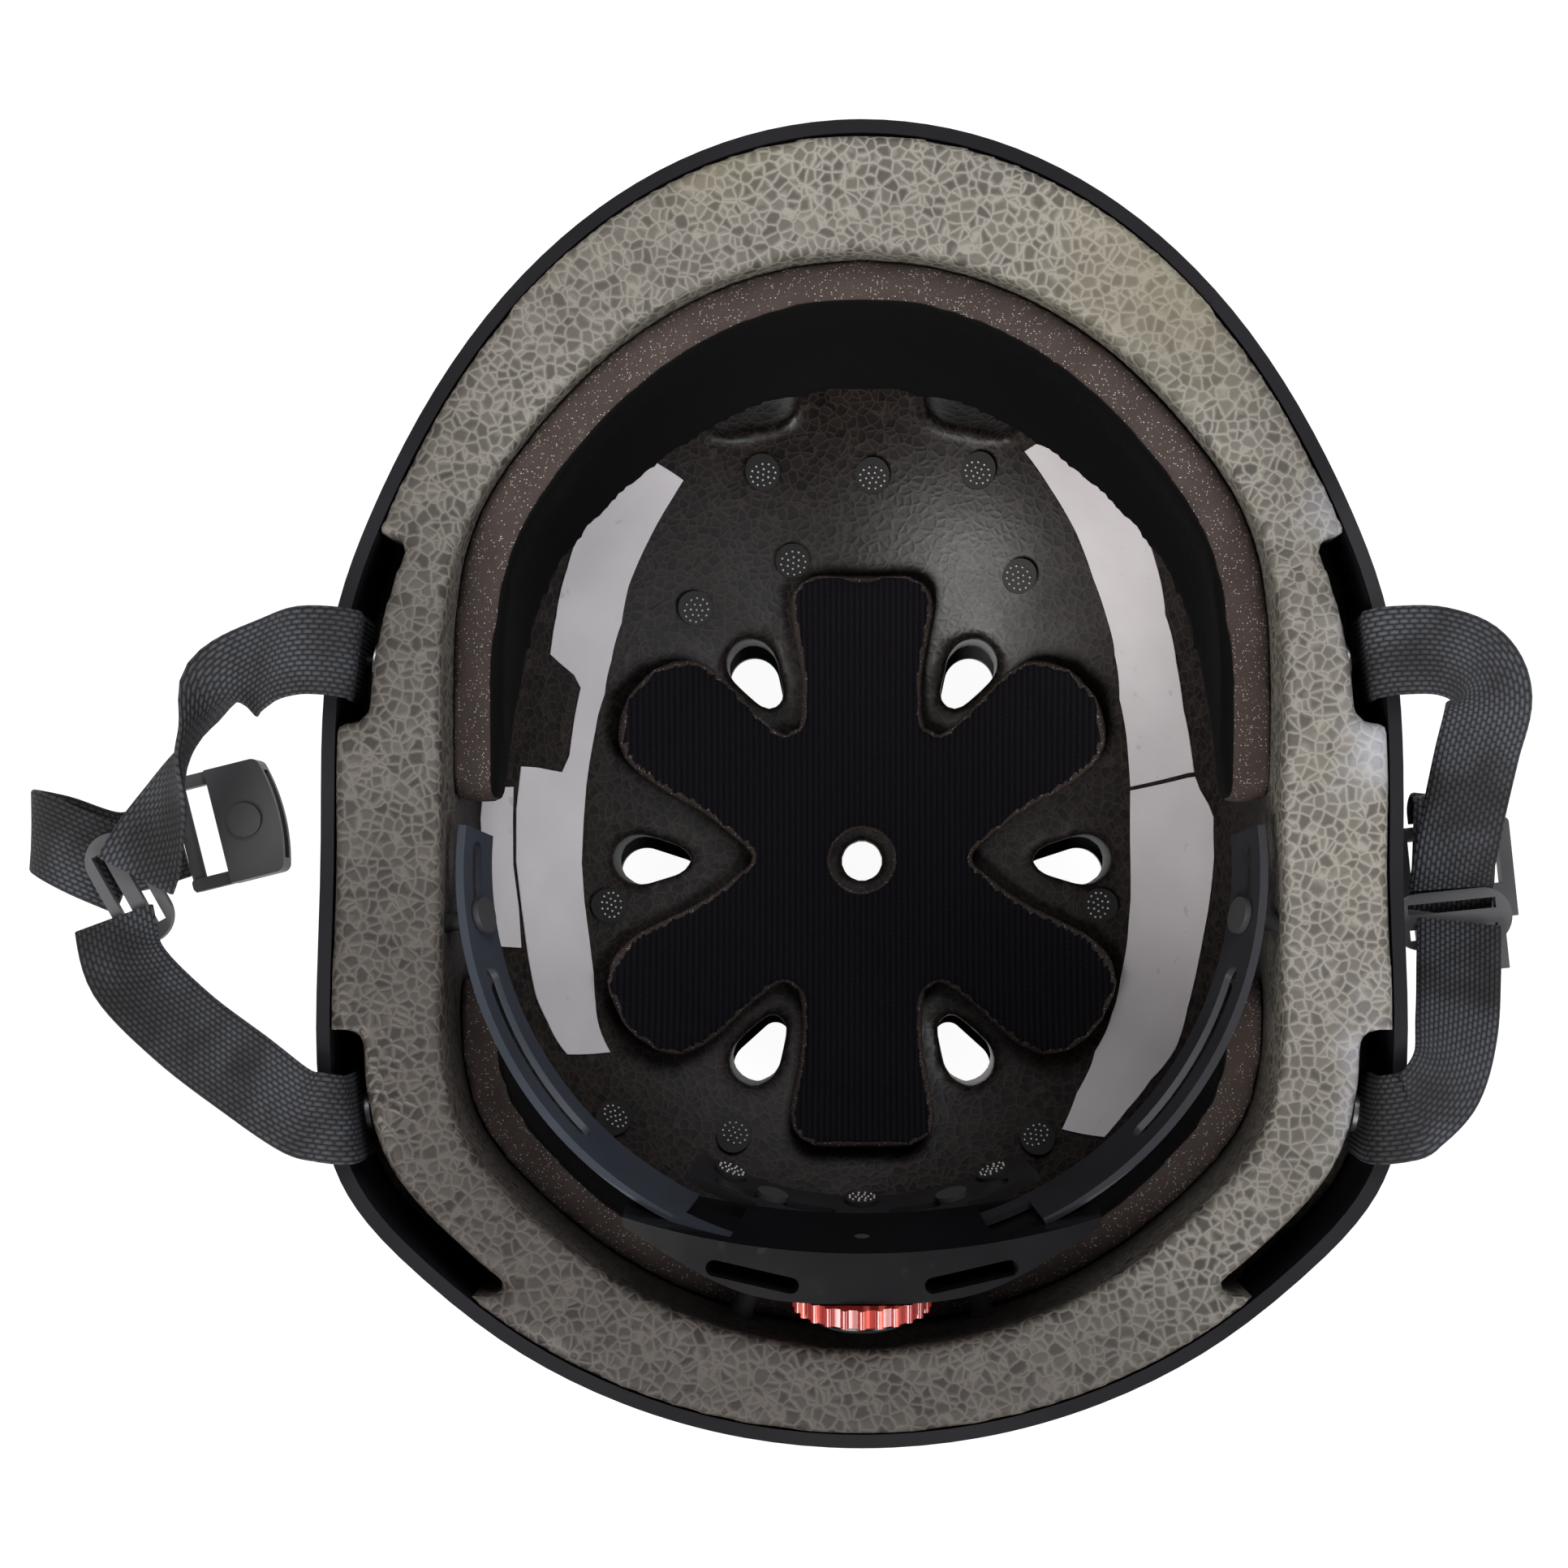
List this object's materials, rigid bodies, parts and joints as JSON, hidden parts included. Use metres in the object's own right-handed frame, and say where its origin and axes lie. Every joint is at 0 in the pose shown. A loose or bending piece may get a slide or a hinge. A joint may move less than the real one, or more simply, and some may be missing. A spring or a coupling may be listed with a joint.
{
  "type": "skateboard_helmet",
  "caption": "Open-face skateboard helmet with ABS shell, beaded foam liner, pads, turn-dial fit band and unclipped chin strap",
  "frame": {"origin": "centre of the crown vent on the outside of the shell, the point on which the helmet lies", "axes": "+Z out of the head opening along the crown vent, +Y towards the brow, +X towards the wearer's left"},
  "size_m": [0.3457, 0.2895, 0.1716],
  "materials": {
    "shell_black": "satin",
    "foam_grey": "matte",
    "pad_black": "matte",
    "dot_black": "matte",
    "band_slate": "satin",
    "band_black": "satin",
    "housing_black": "gloss",
    "pinion_grey": "satin",
    "lens_red": "gloss",
    "steel": "satin",
    "board_green": "satin",
    "webbing_black": "matte",
    "buckle_grey": "satin"
  },
  "bodies": {
    "helmet": {"outer_shell": "shell_black", "foam_liner": "foam_grey", "brow_pad": "pad_black", "rear_pad": "pad_black", "crown_pad": "pad_black", "hook_dots": "dot_black", "band_pins": "pinion_grey", "dial_housing": "housing_black", "housing_cover": "housing_black", "cover_screws": "steel", "click_spring": "steel", "cradle_plate": "housing_black", "cradle_studs": "pinion_grey", "cradle_dots": "dot_black", "strap_tabs": "webbing_black", "rivet_washers": "steel", "strap_rivets": "shell_black"},
    "left_fit_band": {"left_band": "band_slate"},
    "right_fit_band": {"right_band": "band_black"},
    "dial_knob": {"dial_pinion": "pinion_grey", "dial_lens": "lens_red", "coin_cell": "steel", "light_board": "board_green", "button_spring": "steel"},
    "light_cap": {"light_button": "housing_black"},
    "left_strap_set": {"left_front_strap": "webbing_black", "left_rear_strap": "webbing_black", "left_chin_strap": "webbing_black", "left_divider": "buckle_grey"},
    "right_strap_set": {"right_front_strap": "webbing_black", "right_rear_strap": "webbing_black", "right_chin_loop": "webbing_black", "right_divider": "buckle_grey"},
    "buckle_socket": {"female_buckle": "buckle_grey"},
    "buckle_button": {"release_button": "buckle_grey"},
    "buckle_tongue": {"male_buckle": "buckle_grey"}
  },
  "joints": [
    {"name": "dial_turn", "type": "hinge", "parent": "helmet", "child": "dial_knob", "pos_m": [0, -0.08484, 0.15795], "axis": [0, 0.9763, 0.2164], "range_deg": [0, 160]},
    {"name": "left_band_slide", "type": "hinge", "parent": "helmet", "child": "left_fit_band", "pos_m": [0, -0.0015, 0.144], "axis": [0, 0.165, 0.9863], "range_deg": [0, 9.28]},
    {"name": "right_band_slide", "type": "hinge", "parent": "helmet", "child": "right_fit_band", "pos_m": [0, -0.0015, 0.144], "axis": [0, -0.165, -0.9863], "range_deg": [0, 9.7]},
    {"name": "light_cap_press", "type": "slide", "parent": "dial_knob", "child": "light_cap", "axis": [0, 0.9763, 0.2164], "range_m": [0, 0.0005], "stiffness_N_per_m": 800, "springref_m": -0.0006},
    {"name": "left_strap_lift", "type": "hinge", "parent": "helmet", "child": "left_strap_set", "pos_m": [-0.1093, 0, 0.1568], "axis": [0, 1, 0], "range_deg": [0, 100]},
    {"name": "right_strap_lift", "type": "hinge", "parent": "helmet", "child": "right_strap_set", "pos_m": [0.1093, 0, 0.1568], "axis": [0, -1, 0], "range_deg": [0, 100]},
    {"name": "socket_swing", "type": "hinge", "parent": "left_strap_set", "child": "buckle_socket", "pos_m": [-0.1575, 0.005, 0.0945], "axis": [0.2419, -0.9703, 0], "range_deg": [0, 25]},
    {"name": "button_press", "type": "slide", "parent": "buckle_socket", "child": "buckle_button", "axis": [0, 0, -1], "range_m": [0, 0.0008], "stiffness_N_per_m": 800, "springref_m": -0.0006},
    {"name": "tongue_swing", "type": "hinge", "parent": "right_strap_set", "child": "buckle_tongue", "pos_m": [0.1373, 0.006, 0.0965], "axis": [-0.9945, -0.1045, 0], "range_deg": [0, 25]}
  ],
  "couplings": [
    {"joint": "left_band_slide", "follows": "dial_turn", "ratio": 0.057888},
    {"joint": "right_band_slide", "follows": "dial_turn", "ratio": 0.060513}
  ]
}
